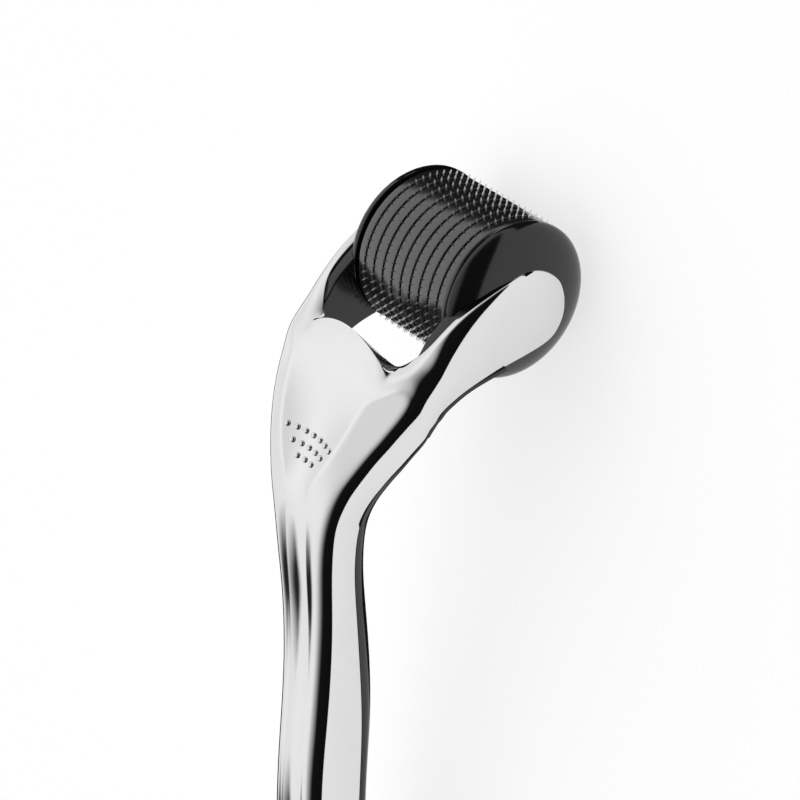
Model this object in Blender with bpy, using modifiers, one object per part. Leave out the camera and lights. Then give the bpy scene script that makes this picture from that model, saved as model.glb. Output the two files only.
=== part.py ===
"""Derma roller: chrome front shell, black back shell with a fork, and a needle roller on a pin.

Sizes are in millimetres in the constants and become metres where objects are made.
The shells are laid out in the handle frame: its origin is on the roller's axis, +X runs
from the butt to the head, +Y along the axis and +Z to the side with the raised dots.
The finished object lies on a table: needle tips and heel touch z = 0, dots upward.
"""
import math

import bmesh
import bpy
from mathutils import Matrix, Vector

MM = 0.001

# Roller
RING_RADIUS = 11.0
NEEDLE_TIP_RADIUS = 11.5
DISC_ROOT_RADIUS = 10.6
DISC_PITCH = 2.0
DISC_COUNT = 9
NEEDLES_PER_DISC = 60
DISC_THICKNESS = 0.2
GROOVE_WIDTH = 0.3
RING_CHAMFER = 0.15
END_RING_SHOULDER = 0.6
HUB_FLATS = 9.0
HUB_BORE_FLATS = 9.2
HUB_HALF_LENGTH = 9.6
HUB_BORE_LENGTH = 30.0
HUB_HOLE_RADIUS = 1.58
HUB_HOLE_HALF_LENGTH = HUB_HALF_LENGTH + 1.0
PIN_RADIUS = 1.5
PIN_HALF_LENGTH = 11.9
PIN_CHAMFER = 0.2
PIN_HOLE_RADIUS = 1.65
PIN_HOLE_HALF_LENGTH = 12.2

# Fork
ARM_INNER_Y = 10.2
PLATE_OUTER_Y = 12.3
BOSS_RADIUS = 3.0
BOSS_INNER_Y = 9.9
CAP_RADIUS = 11.35
CAP_RIM_Y = 11.0
CAP_EDGE_RADIUS = 10.3
CAP_EDGE_Y = 11.9
CAP_FACE_Y = 12.5
CAP_FACE_RADIUS = 7.6
TIP_RADIUS = 6.3
TIP_CENTRE = (-0.7, 0.0)
TIP_POLE_ANGLE = -71.0
TIP_EDGE_Y = 13.6
CHROME_INNER_Y = 12.75
LIP_WIDTH = 0.5
SEAM_GAP = 0.3

# Rows round the arm's tip: angle from the pole to the row's ends, and the y of its crown
TIP_ROWS = ((18.0, 13.9), (45.0, 14.5), (72.0, 14.75))
# Where the crown's three points lie on the way from the front end to the back end
TIP_CROWN_SHARES = (0.12, 0.28, 0.62)

# How the object lies: the roller's centre above the table, and the handle's slope
REST_PITCH = math.radians(8.8)
ROLLER_HEIGHT = NEEDLE_TIP_RADIUS
ROLLER_FORWARD = 60.42

# Arm of the front shell, from the tip to the crotch:
# front edge (x, z), outer corner (x, z), back edge (x, z), half width
ARM_STATIONS = (
    ((4.7, 3.4), (4.2, 4.0), (-7.4, 3.6), 14.7),
    ((3.1, 7.2), (2.2, 7.4), (-8.2, 7.0), 14.9),
    ((1.2, 10.7), (-0.2, 10.7), (-9.2, 10.2), 14.9),
    ((-1.5, 13.9), (-3.0, 13.6), (-10.8, 13.2), 14.9),
)

# Neck and handle, from the crotch to the butt: outer corner (x, z), seam (x, z), half width,
# half width and height of the ridge, depth of the scoop, depth of the black back
BODY_STATIONS = (
    ((-7.0, 16.8), (-12.8, 15.4), 14.7, 8.8, 19.2, 0.0, 1.9),
    ((-10.9, 19.0), (-15.6, 17.4), 13.8, 8.6, 22.0, 0.8, 2.0),
    ((-15.0, 21.5), (-18.6, 19.0), 12.6, 7.4, 24.1, 1.5, 2.1),
    ((-19.5, 23.4), (-21.8, 20.2), 10.8, 5.4, 25.9, 1.6, 2.2),
    ((-24.0, 24.7), (-25.4, 21.0), 8.8, 2.9, 26.9, 0.3, 2.3),
    ((-30.9, 25.5), (-31.2, 21.4), 6.6, 2.6, 26.9, 0.0, 2.5),
    ((-37.5, 25.2), (-37.5, 21.2), 6.1, 2.6, 26.5, 0.0, 2.6),
    ((-44.0, 24.5), (-44.0, 20.2), 5.7, 2.5, 25.8, 0.0, 2.7),
    ((-53.0, 24.2), (-53.0, 19.0), 5.3, 2.4, 25.5, 0.0, 2.9),
    ((-62.0, 24.5), (-62.0, 18.0), 5.1, 2.4, 25.8, 0.0, 2.5),
    ((-71.0, 25.0), (-71.0, 17.9), 5.0, 2.4, 26.3, 0.0, 2.0),
    ((-84.0, 24.8), (-84.0, 18.2), 5.3, 2.5, 26.1, 0.0, 2.2),
    ((-98.0, 23.0), (-98.0, 17.2), 5.8, 2.7, 24.3, 0.0, 2.8),
    ((-112.0, 19.8), (-112.0, 14.8), 6.2, 2.9, 21.1, 0.0, 3.2),
    ((-124.0, 16.2), (-124.0, 12.0), 6.0, 2.8, 17.4, 0.0, 3.2),
    ((-130.0, 14.2), (-129.6, 10.2), 5.0, 2.3, 15.2, 0.0, 2.8),
    ((-132.6, 12.9), (-132.0, 10.2), 3.0, 1.3, 13.5, 0.0, 2.0),
)
LIP_FORWARD = 3.9
LIP_CORNER = (-6.4, 8.9, 18.9)
CROTCH_EDGE = (-5.2, 17.0)

# Arm sections: y of the front shoulder, and the shares and insets of the points between edges
ARM_SHOULDER_Y = 13.9
ARM_SHOULDER_SHARE = 0.55
ARM_UNDER_SHARE = 0.08
ARM_BACK_INSET = 0.9
ARM_UNDER_DROP = 0.05

# Black arms: how far the outline lies inside the plated arm's front and back edges
PLATE_FRONT_INSET = (0.35, 0.2)
PLATE_BACK_DROP = 0.2
PLATE_TOP_FRONT = (-7.6, 17.2)
PLATE_TOP_BACK = (-13.4, 15.4)

# Handle sections: how far the sides stand inside the half width at the seam and in the shells
RIDGE_FORWARD = 0.4
SHOULDER_RISE = (0.62, 0.35)
SHOULDER_OUT = 0.3
SIDE_BULGE = 0.05
SEAM_INSET = 0.15
UNDERSIDE_INSET = 1.0
FULL_LIP_SHARE = 0.7

# Black back: direction and start of its front end, overlap above the seam, and its section as
# (share of the way to the middle, share of the half width, share of the depth)
CROTCH_DOWN = (-0.3, -1.0)
CROTCH_SETBACK = 0.5
OVERLAP_MIDDLE = 0.9
OVERLAP_SIDE = 0.6
BACK_SECTION = ((0.0, 1.0, 0.45), (0.4, 0.72, 0.85), (0.8, 0.4, 1.0), (1.0, 0.0, 1.0))

# Block that cuts the flat heel at table height, in metres
HEEL_BLOCK_SIZE = (0.05, 0.05, 0.02)
HEEL_BLOCK_CENTRE = (-0.065, 0.0, -0.01)

RING_SEGMENTS = 32
CAP_SEGMENTS = 40
PIN_SEGMENTS = 16
SHARP_COLUMNS = (2, 6, 7, 8)
INNER_COLUMNS = (2, 8)
WELD_DISTANCE = 0.000001
MIRROR_MERGE = 0.00001

to_world = (
    Matrix.Translation((ROLLER_FORWARD * MM, 0.0, ROLLER_HEIGHT * MM))
    @ Matrix.Rotation(-REST_PITCH, 4, "Y")
    @ Matrix.Scale(MM, 4)
)


def clear_scene():
    """Remove whatever the file holds."""
    for obj in list(bpy.data.objects):
        bpy.data.objects.remove(obj, do_unlink=True)


def new_collection(name, hidden=False):
    """A collection under the scene; cutters go in a hidden one."""
    group = bpy.data.collections.new(name)
    bpy.context.scene.collection.children.link(group)
    group.hide_render = hidden
    return group


def make_material(name, colour, roughness, metallic):
    """A Principled material."""
    material = bpy.data.materials.new(name)
    material.use_nodes = True
    shader = material.node_tree.nodes["Principled BSDF"]
    shader.inputs["Base Color"].default_value = (*colour, 1.0)
    shader.inputs["Roughness"].default_value = roughness
    shader.inputs["Metallic"].default_value = metallic
    return material


def add_object(name, data, group, material=None):
    """Link a named object and give it its material."""
    obj = bpy.data.objects.new(name, data)
    group.objects.link(obj)
    if material is not None:
        data.materials.clear()
        data.materials.append(material)
    return obj


def add_boolean(obj, cutter, operation="DIFFERENCE"):
    """Cut or join with another object."""
    step = obj.modifiers.new(operation.title(), "BOOLEAN")
    step.operation = operation
    step.solver = "EXACT"
    step.object = cutter
    return step


def hide_cutter(obj):
    """Show a cutter as wire and leave it out of the model."""
    obj.display_type = "WIRE"
    obj.hide_render = True


def shade(obj, angle=35.0):
    """Smooth shading with sharp edges above an angle."""
    obj.data.shade_smooth()
    obj.data.set_sharp_from_angle(angle=math.radians(angle))


def unit(vector):
    """A 2D direction of length one."""
    length = math.hypot(vector[0], vector[1])
    return (vector[0] / length, vector[1] / length)


def mix(a, b, share):
    """A 2D point between two others."""
    return (a[0] + (b[0] - a[0]) * share, a[1] + (b[1] - a[1]) * share)


def tip_rows():
    """Rows round the arm's tip, from the pole up both sides."""
    rows = []
    for spread, crown in TIP_ROWS:
        ends = []
        for angle in (math.radians(TIP_POLE_ANGLE + spread), math.radians(TIP_POLE_ANGLE - spread)):
            ends.append((TIP_CENTRE[0] + TIP_RADIUS * math.cos(angle),
                         TIP_CENTRE[1] + TIP_RADIUS * math.sin(angle)))
        front, back = ends
        row = [None, None, (front[0], TIP_EDGE_Y, front[1])]
        for share, y in zip(TIP_CROWN_SHARES, (0.5 * (TIP_EDGE_Y + crown), crown, crown)):
            x, z = mix(front, back, share)
            row.append((x, y, z))
        row.append((back[0], TIP_EDGE_Y, back[1]))
        row.append((back[0], CHROME_INNER_Y, back[1]))
        row.append((front[0], CHROME_INNER_Y, front[1]))
        rows.append(row + [None, None])
    return rows


def arm_rows():
    """Rows up the arm: a closed section with an inner edge, a corner and a back edge."""
    rows = []
    for front, corner, back, half_width in ARM_STATIONS:
        shoulder = mix(front, corner, ARM_SHOULDER_SHARE)
        side = mix(corner, back, 0.5)
        under = mix(front, back, ARM_UNDER_SHARE)
        rows.append([
            None, None,
            (front[0], CHROME_INNER_Y, front[1]),
            (shoulder[0], ARM_SHOULDER_Y, shoulder[1]),
            (corner[0], half_width, corner[1]),
            (side[0], half_width, side[1]),
            (back[0], half_width - ARM_BACK_INSET, back[1]),
            (back[0], CHROME_INNER_Y - ARM_UNDER_DROP, back[1]),
            (under[0], CHROME_INNER_Y - ARM_UNDER_DROP, under[1]),
            None, None,
        ])
    return rows


def body_row(station, lip=0.0, under_front=None):
    """One row of the neck or handle, from the centre over the side to the seam and back."""
    corner, seam, half_width, ridge_half, ridge_z, scoop, _depth = station
    ridge_x = corner[0] + RIDGE_FORWARD
    ridge_share, rise = SHOULDER_RISE
    shoulder = (0.5 * (ridge_x + corner[0]), ridge_share * ridge_z + (1.0 - ridge_share) * corner[1] + rise)
    shoulder_y = 0.5 * (ridge_half + half_width) + SHOULDER_OUT
    side = mix(corner, seam, 0.5)
    under = under_front if under_front else seam
    return [
        (ridge_x + lip, 0.0, ridge_z - scoop),
        (ridge_x + FULL_LIP_SHARE * lip, 0.55 * ridge_half, ridge_z - 0.75 * scoop),
        (ridge_x, ridge_half, ridge_z),
        (shoulder[0], shoulder_y, shoulder[1]),
        (corner[0], half_width, corner[1]),
        (side[0], half_width + SIDE_BULGE, side[1]),
        (seam[0], half_width - SEAM_INSET, seam[1]),
        (seam[0], half_width - UNDERSIDE_INSET, seam[1]),
        (under[0], 0.5 * half_width, under[1]),
        (under[0], 0.25 * half_width, under[1]),
        (under[0], 0.0, under[1]),
    ]


def front_rows():
    """All rows of the front shell, tip to butt."""
    rows = tip_rows() + arm_rows()
    rows.append(body_row(BODY_STATIONS[0], LIP_FORWARD, CROTCH_EDGE))
    rows[-1][2] = LIP_CORNER
    rows.extend(body_row(station) for station in BODY_STATIONS[1:])
    return rows


def back_rows():
    """Rows of the back shell's body; its top reaches into the front shell, which trims it."""
    rows = []
    for index, (corner, seam, half_width, _ridge, _height, _scoop, depth) in enumerate(BODY_STATIONS):
        down = unit((seam[0] - corner[0], seam[1] - corner[1]))
        middle = seam
        if index == 0:
            down = unit(CROTCH_DOWN)
            middle = (CROTCH_EDGE[0] - CROTCH_SETBACK, CROTCH_EDGE[1])
        width = half_width - SEAM_INSET
        section = [(middle, 0.0, -OVERLAP_MIDDLE), (middle, 0.45 * width, -OVERLAP_MIDDLE),
                   (seam, width, -OVERLAP_SIDE)]
        for inward, out, drop in BACK_SECTION:
            section.append((mix(seam, middle, inward), out * width, drop * depth))
        rows.append([(base[0] + down[0] * drop, y, base[1] + down[1] * drop) for base, y, drop in section])
    return rows


def loft_half(name, rows, sharp_columns=(), inner_columns=None):
    """A half body open at y = 0, lofted from rows of points; None leaves a column out."""
    mesh = bpy.data.meshes.new(name)
    bm = bmesh.new()
    crease = bm.edges.layers.float.new("crease_edge")
    grid = [[bm.verts.new(to_world @ Vector(p)) if p else None for p in row] for row in rows]
    columns = len(rows[0])
    for above, below in zip(grid, grid[1:]):
        for column in range(columns - 1):
            corners = (above[column], above[column + 1], below[column + 1], below[column])
            if None not in corners:
                bm.faces.new(corners)
        if inner_columns and above[0] is None:
            inner, outer = inner_columns
            bm.faces.new((above[outer], above[inner], below[inner], below[outer]))
    present = [vert for vert in grid[0] if vert]
    if inner_columns:
        first = next(row for row in grid if row[0])
        for step in range(inner_columns[0]):
            bm.faces.new((first[step + 1], first[step], first[columns - 1 - step], first[columns - 2 - step]))
    bm.faces.new(list(reversed(present)))
    bm.faces.new(grid[-1])
    for above, below in zip(grid, grid[1:]):
        for column in sharp_columns:
            edge = bm.edges.get((above[column], below[column])) if above[column] and below[column] else None
            if edge:
                edge[crease] = 1.0
    bmesh.ops.recalc_face_normals(bm, faces=bm.faces)
    bm.to_mesh(mesh)
    bm.free()
    return mesh


def soften(obj, levels=1):
    """Mirror a half body across the middle and round it by subdivision."""
    mirror = obj.modifiers.new("Mirror", "MIRROR")
    mirror.use_axis = (False, True, False)
    mirror.merge_threshold = MIRROR_MERGE
    smooth = obj.modifiers.new("Smooth", "SUBSURF")
    smooth.levels = levels
    smooth.render_levels = levels
    obj.modifiers.new("Triangles", "TRIANGULATE")


def make_front_shell(parts, material):
    """The chrome-plated front: handle, scooped neck and the outer covers of both arms."""
    mesh = loft_half("front_shell", front_rows(), SHARP_COLUMNS, INNER_COLUMNS)
    shell = add_object("front_shell", mesh, parts, material)
    soften(shell)
    shade(shell)
    return shell


def make_front_cutter(cutters):
    """The front shell grown by the seam gap, which trims the back shell."""
    mesh = loft_half("front_trim", front_rows(), SHARP_COLUMNS, INNER_COLUMNS)
    cutter = add_object("front_trim", mesh, cutters)
    soften(cutter)
    grow = cutter.modifiers.new("Grow", "DISPLACE")
    grow.strength = SEAM_GAP * MM
    grow.mid_level = 0.0
    hide_cutter(cutter)
    return cutter


def turned(name, profile, group, segments, material=None, flip=1.0):
    """A solid of revolution about the roller's axis, from (radius, y) points down its outer side."""
    mesh = bpy.data.meshes.new(name)
    bm = bmesh.new()
    line = [bm.verts.new((radius * MM, 0.0, y * MM)) for radius, y in profile]
    for start, end in zip(line, line[1:]):
        bm.edges.new((start, end))
    bm.to_mesh(mesh)
    bm.free()
    obj = add_object(name, mesh, group, material)
    obj.location = to_world @ Vector((0.0, 0.0, 0.0))
    obj.rotation_euler = (-flip * 0.5 * math.pi, 0.0, 0.0)
    screw = obj.modifiers.new("Turn", "SCREW")
    screw.axis = "Z"
    screw.steps = segments
    screw.render_steps = segments
    screw.use_merge_vertices = True
    screw.merge_threshold = WELD_DISTANCE
    return obj


def arm_plate_outline():
    """Side outline of a black arm: front edge, then down the back edge with its lip."""
    fronts = [station[0] for station in ARM_STATIONS]
    backs = [station[2] for station in ARM_STATIONS]
    outline = [(front[0] - PLATE_FRONT_INSET[0], front[1] - PLATE_FRONT_INSET[1]) for front in fronts]
    outline.append(PLATE_TOP_FRONT)
    outline.append(PLATE_TOP_BACK)
    outline.extend((back[0] - LIP_WIDTH, back[1] - PLATE_BACK_DROP) for back in reversed(backs))
    return outline


def make_arm_plate(name, side, cutters):
    """A flat black arm, an outline extruded along the roller's axis."""
    curve = bpy.data.curves.new(name, "CURVE")
    curve.dimensions = "2D"
    curve.fill_mode = "BOTH"
    curve.extrude = 0.5 * (PLATE_OUTER_Y - ARM_INNER_Y) * MM
    outline = arm_plate_outline()
    spline = curve.splines.new("POLY")
    spline.points.add(len(outline) - 1)
    for point, (x, z) in zip(spline.points, outline):
        point.co = (x * MM, z * MM, 0.0, 1.0)
    spline.use_cyclic_u = True
    obj = add_object(name, curve, cutters)
    middle = 0.5 * (PLATE_OUTER_Y + ARM_INNER_Y) * side
    obj.matrix_world = (to_world @ Matrix.Scale(1.0 / MM, 4)
                        @ Matrix.Translation((0.0, middle * MM, 0.0))
                        @ Matrix.Rotation(0.5 * math.pi, 4, "X"))
    return curve_to_mesh(obj, cutters)


def curve_to_mesh(obj, group, material=None):
    """Turn a curve object into a welded mesh object of the same name and place."""
    bpy.context.view_layer.update()
    place = obj.matrix_world.copy()
    name = obj.name
    evaluated = obj.evaluated_get(bpy.context.evaluated_depsgraph_get())
    mesh = bpy.data.meshes.new_from_object(evaluated)
    bm = bmesh.new()
    bm.from_mesh(mesh)
    bmesh.ops.remove_doubles(bm, verts=bm.verts, dist=WELD_DISTANCE)
    bmesh.ops.recalc_face_normals(bm, faces=bm.faces)
    bm.to_mesh(mesh)
    bm.free()
    bpy.data.objects.remove(obj, do_unlink=True)
    result = add_object(name, mesh, group, material)
    result.matrix_world = place
    return result


def make_back_shell(parts, cutters, material):
    """The black back: handle back, both fork arms, their round caps and the pin's blind holes."""
    mesh = loft_half("back_shell", back_rows(), (2,))
    shell = add_object("back_shell", mesh, parts, material)
    soften(shell)
    cap_profile = (
        (0.0, CAP_FACE_Y), (CAP_FACE_RADIUS, CAP_FACE_Y), (CAP_EDGE_RADIUS, CAP_EDGE_Y),
        (CAP_RADIUS, CAP_RIM_Y),
        (CAP_RADIUS, ARM_INNER_Y), (BOSS_RADIUS, ARM_INNER_Y), (BOSS_RADIUS, BOSS_INNER_Y),
        (0.0, BOSS_INNER_Y),
    )
    for label, side in (("left", 1.0), ("right", -1.0)):
        plate = make_arm_plate("arm_plate_" + label, side, cutters)
        hide_cutter(plate)
        add_boolean(shell, plate, "UNION")
        cap = turned("arm_cap_" + label, cap_profile, cutters, CAP_SEGMENTS, flip=side)
        hide_cutter(cap)
        add_boolean(shell, cap, "UNION")
    add_boolean(shell, make_front_cutter(cutters))
    bore = turned("pin_bore", (
        (0.0, PIN_HOLE_HALF_LENGTH), (PIN_HOLE_RADIUS, PIN_HOLE_HALF_LENGTH),
        (PIN_HOLE_RADIUS, -PIN_HOLE_HALF_LENGTH), (0.0, -PIN_HOLE_HALF_LENGTH),
    ), cutters, PIN_SEGMENTS)
    hide_cutter(bore)
    add_boolean(shell, bore)
    bpy.ops.mesh.primitive_cube_add(size=1.0)
    ground = bpy.context.object
    ground.name = "heel_land"
    ground.scale = HEEL_BLOCK_SIZE
    ground.location = HEEL_BLOCK_CENTRE
    for owner in list(ground.users_collection):
        owner.objects.unlink(ground)
    cutters.objects.link(ground)
    hide_cutter(ground)
    add_boolean(shell, ground)
    shade(shell)
    return shell


def ring_profile(width, outer_chamfer, inner_chamfer):
    """Profile of a solid ring blank, centred on its own middle."""
    half = 0.5 * width
    return (
        (0.0, half), (RING_RADIUS - outer_chamfer, half), (RING_RADIUS, half - outer_chamfer),
        (RING_RADIUS, inner_chamfer - half), (RING_RADIUS - inner_chamfer, -half), (0.0, -half),
    )


def hexagon(flats):
    """Corner points of a hexagon with the given width across flats, one corner at +Y."""
    radius = flats / math.sqrt(3.0)
    return [(radius * math.sin(math.radians(60.0 * k)), radius * math.cos(math.radians(60.0 * k)))
            for k in range(6)]


def make_hex_cutter(cutters):
    """The hub's hexagon grown for its fit, through the whole roller."""
    bpy.ops.mesh.primitive_cylinder_add(
        vertices=6, radius=HUB_BORE_FLATS / math.sqrt(3.0) * MM, depth=HUB_BORE_LENGTH * MM)
    cutter = bpy.context.object
    cutter.name = "hub_bore"
    for owner in list(cutter.users_collection):
        owner.objects.unlink(cutter)
    cutters.objects.link(cutter)
    cutter.location = to_world @ Vector((0.0, 0.0, 0.0))
    cutter.rotation_euler = (0.5 * math.pi, 0.0, 0.0)
    hide_cutter(cutter)
    return cutter


def ride_on(axis, obj, y=0.0):
    """Put a roller piece on the roller's axis empty."""
    obj.parent = axis
    obj.location = (0.0, y * MM, 0.0)


def make_rings(parts, cutters, axis, material):
    """Ten moulded rings: two end rings with rounded shoulders and eight spacers."""
    bore = make_hex_cutter(cutters)
    width = DISC_PITCH - GROOVE_WIDTH
    spacer = ring_profile(width, RING_CHAMFER, RING_CHAMFER)
    end = ring_profile(width, END_RING_SHOULDER, RING_CHAMFER)
    reach = 0.5 * DISC_PITCH * DISC_COUNT
    pieces = [("end_ring_left", end, reach, 1.0), ("end_ring_right", end, -reach, -1.0)]
    for number in range(DISC_COUNT - 1):
        y = reach - DISC_PITCH * (number + 1)
        pieces.append((f"spacer_ring_{number + 1}", spacer, y, 1.0))
    for name, profile, y, flip in pieces:
        ring = turned(name, profile, parts, RING_SEGMENTS, material, flip)
        add_boolean(ring, bore)
        shade(ring)
        ride_on(axis, ring, y)


def make_needle_discs(parts, axis, material):
    """Nine thin steel discs, each a star of needles with the hub's hexagon cut out."""
    outline = []
    for step in range(2 * NEEDLES_PER_DISC):
        angle = math.pi * step / NEEDLES_PER_DISC
        radius = NEEDLE_TIP_RADIUS if step % 2 == 0 else DISC_ROOT_RADIUS
        outline.append((radius * math.cos(angle), radius * math.sin(angle)))
    template = bpy.data.curves.new("needle_disc", "CURVE")
    template.dimensions = "2D"
    template.fill_mode = "BOTH"
    template.extrude = 0.5 * DISC_THICKNESS * MM
    for points in (outline, hexagon(HUB_BORE_FLATS)):
        spline = template.splines.new("POLY")
        spline.points.add(len(points) - 1)
        for point, (x, y) in zip(spline.points, points):
            point.co = (x * MM, y * MM, 0.0, 1.0)
        spline.use_cyclic_u = True
    first = curve_to_mesh(add_object("needle_disc_template", template, parts), parts, material)
    reach = 0.5 * DISC_PITCH * (DISC_COUNT - 1)
    for number in range(DISC_COUNT):
        disc = add_object(f"needle_disc_{number + 1}", first.data, parts)
        disc.rotation_euler = (0.5 * math.pi, 0.0, 0.0)
        ride_on(axis, disc, reach - DISC_PITCH * number)
    bpy.data.objects.remove(first, do_unlink=True)


def make_core(parts, cutters, axis, material):
    """The hexagonal hub that carries rings and discs, bored for the pin."""
    bpy.ops.mesh.primitive_cylinder_add(
        vertices=6, radius=HUB_FLATS / math.sqrt(3.0) * MM, depth=2.0 * HUB_HALF_LENGTH * MM)
    core = bpy.context.object
    core.name = "roller_core"
    core.data.name = "roller_core"
    for owner in list(core.users_collection):
        owner.objects.unlink(core)
    parts.objects.link(core)
    core.data.materials.append(material)
    core.rotation_euler = (0.5 * math.pi, 0.0, 0.0)
    ride_on(axis, core)
    hole = turned("core_hole", (
        (0.0, HUB_HOLE_HALF_LENGTH), (HUB_HOLE_RADIUS, HUB_HOLE_HALF_LENGTH),
        (HUB_HOLE_RADIUS, -HUB_HOLE_HALF_LENGTH), (0.0, -HUB_HOLE_HALF_LENGTH),
    ), cutters, PIN_SEGMENTS)
    hide_cutter(hole)
    add_boolean(core, hole)


def make_pin(parts, material):
    """The steel pin fixed between the two arms."""
    pin = turned("axle_pin", (
        (0.0, PIN_HALF_LENGTH), (PIN_RADIUS - PIN_CHAMFER, PIN_HALF_LENGTH),
        (PIN_RADIUS, PIN_HALF_LENGTH - PIN_CHAMFER), (PIN_RADIUS, PIN_CHAMFER - PIN_HALF_LENGTH),
        (PIN_RADIUS - PIN_CHAMFER, -PIN_HALF_LENGTH), (0.0, -PIN_HALF_LENGTH),
    ), parts, PIN_SEGMENTS, material)
    shade(pin)


def main():
    """Build the whole derma roller."""
    clear_scene()
    parts = new_collection("derma_roller")
    cutters = new_collection("cutters", hidden=True)
    chrome = make_material("chrome_plate", (0.86, 0.86, 0.87), 0.06, 1.0)
    gloss_black = make_material("gloss_black", (0.012, 0.012, 0.013), 0.12, 0.0)
    matt_black = make_material("matt_black", (0.030, 0.030, 0.031), 0.45, 0.0)
    hub_black = make_material("hub_black", (0.020, 0.020, 0.020), 0.50, 0.0)
    steel = make_material("needle_steel", (0.72, 0.72, 0.74), 0.20, 1.0)
    pin_steel = make_material("pin_steel", (0.60, 0.60, 0.62), 0.25, 1.0)

    axis = bpy.data.objects.new("roller_axis", None)
    parts.objects.link(axis)
    axis.location = to_world @ Vector((0.0, 0.0, 0.0))

    make_front_shell(parts, chrome)
    make_back_shell(parts, cutters, gloss_black)
    make_pin(parts, pin_steel)
    make_core(parts, cutters, axis, hub_black)
    make_rings(parts, cutters, axis, matt_black)
    make_needle_discs(parts, axis, steel)


main()
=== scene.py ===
"""Looks of a derma roller: plated front shell, glossy black back, satin rings and steel needles."""
import math

import bmesh
import bpy
from mathutils import Matrix, Quaternion, Vector


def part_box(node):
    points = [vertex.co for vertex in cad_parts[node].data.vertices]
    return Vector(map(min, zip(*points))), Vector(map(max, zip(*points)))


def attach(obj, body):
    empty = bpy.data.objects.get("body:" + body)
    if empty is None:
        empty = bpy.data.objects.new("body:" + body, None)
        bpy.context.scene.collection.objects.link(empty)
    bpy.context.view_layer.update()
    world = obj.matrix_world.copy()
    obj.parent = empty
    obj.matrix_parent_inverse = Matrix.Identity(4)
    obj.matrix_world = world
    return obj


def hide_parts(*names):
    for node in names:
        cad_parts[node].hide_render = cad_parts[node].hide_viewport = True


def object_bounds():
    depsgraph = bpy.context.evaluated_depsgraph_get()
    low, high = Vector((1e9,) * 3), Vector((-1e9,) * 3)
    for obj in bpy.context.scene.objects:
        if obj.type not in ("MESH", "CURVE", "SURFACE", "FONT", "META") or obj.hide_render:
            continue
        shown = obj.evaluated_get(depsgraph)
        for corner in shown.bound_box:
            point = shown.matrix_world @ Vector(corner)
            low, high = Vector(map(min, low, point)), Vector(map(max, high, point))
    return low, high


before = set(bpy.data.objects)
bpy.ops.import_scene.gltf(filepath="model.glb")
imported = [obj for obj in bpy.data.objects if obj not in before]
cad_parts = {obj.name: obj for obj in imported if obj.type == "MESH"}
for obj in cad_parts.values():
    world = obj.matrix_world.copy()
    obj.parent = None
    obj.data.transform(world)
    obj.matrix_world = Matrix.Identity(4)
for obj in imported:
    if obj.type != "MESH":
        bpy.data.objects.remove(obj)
CAD_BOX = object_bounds()

bl_info = {
    "name": "Derma Roller Looks",
    "version": (1, 0, 0),
    "blender": (4, 5, 0),
    "location": "View3D > Sidebar > Derma Roller",
    "description": "Builds the finished surfaces of a derma roller round its packed frame",
    "category": "Add Mesh",
}

MM = 0.001
HANDLE_BODY = "handle"
ROLLER_BODY = "roller"
TAU = 2.0 * math.pi


def middle(node):
    """Centre of a frame node's box."""
    low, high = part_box(node)
    return (Vector(low) + Vector(high)) * 0.5


def half_size(node):
    """Half the size of a frame node's box along each axis."""
    low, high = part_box(node)
    return (Vector(high) - Vector(low)) * 0.5


AXIS = middle("axle_pin")
DISC_NODES = sorted((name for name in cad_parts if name.startswith("needle_disc_")),
                    key=lambda name: -middle(name).y)
RING_NODES = sorted((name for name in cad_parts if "_ring_" in name),
                    key=lambda name: -middle(name).y)
RING_RADIUS = half_size(RING_NODES[1]).z
RING_WIDTH = 2.0 * half_size(RING_NODES[1]).y
NEEDLE_TIP_RADIUS = half_size(DISC_NODES[0]).z
# Width of the hexagonal bore across its flats, with the hub's play
HUB_PLAY = 0.0002
HUB_BORE = 2.0 * half_size("roller_core").x + HUB_PLAY
HEX_SIDES = 6

# How the handle slopes as it lies; shell shapes are written in millimetres in the handle's own
# frame, whose origin is on the roller's axis with +X to the head and +Z to the raised dots.
REST_PITCH = math.radians(8.8)
TO_WORLD = Matrix.Translation(AXIS) @ Matrix.Rotation(-REST_PITCH, 4, "Y") @ Matrix.Scale(MM, 4)


# ------------------------------
# Settings
# ------------------------------

def colour_setting(name, description, default):
    """A colour."""
    return bpy.props.FloatVectorProperty(name=name, description=description, subtype="COLOR",
                                         size=3, min=0.0, max=1.0, default=default)


def share_setting(name, description, default):
    """A value from 0 to 1."""
    return bpy.props.FloatProperty(name=name, description=description, min=0.0, max=1.0,
                                   default=default)


def length_setting(name, description, low, high, default):
    """A length in metres, with its limits."""
    return bpy.props.FloatProperty(name=name, description=description, subtype="DISTANCE",
                                   unit="LENGTH", min=low, max=high, default=default)


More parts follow.
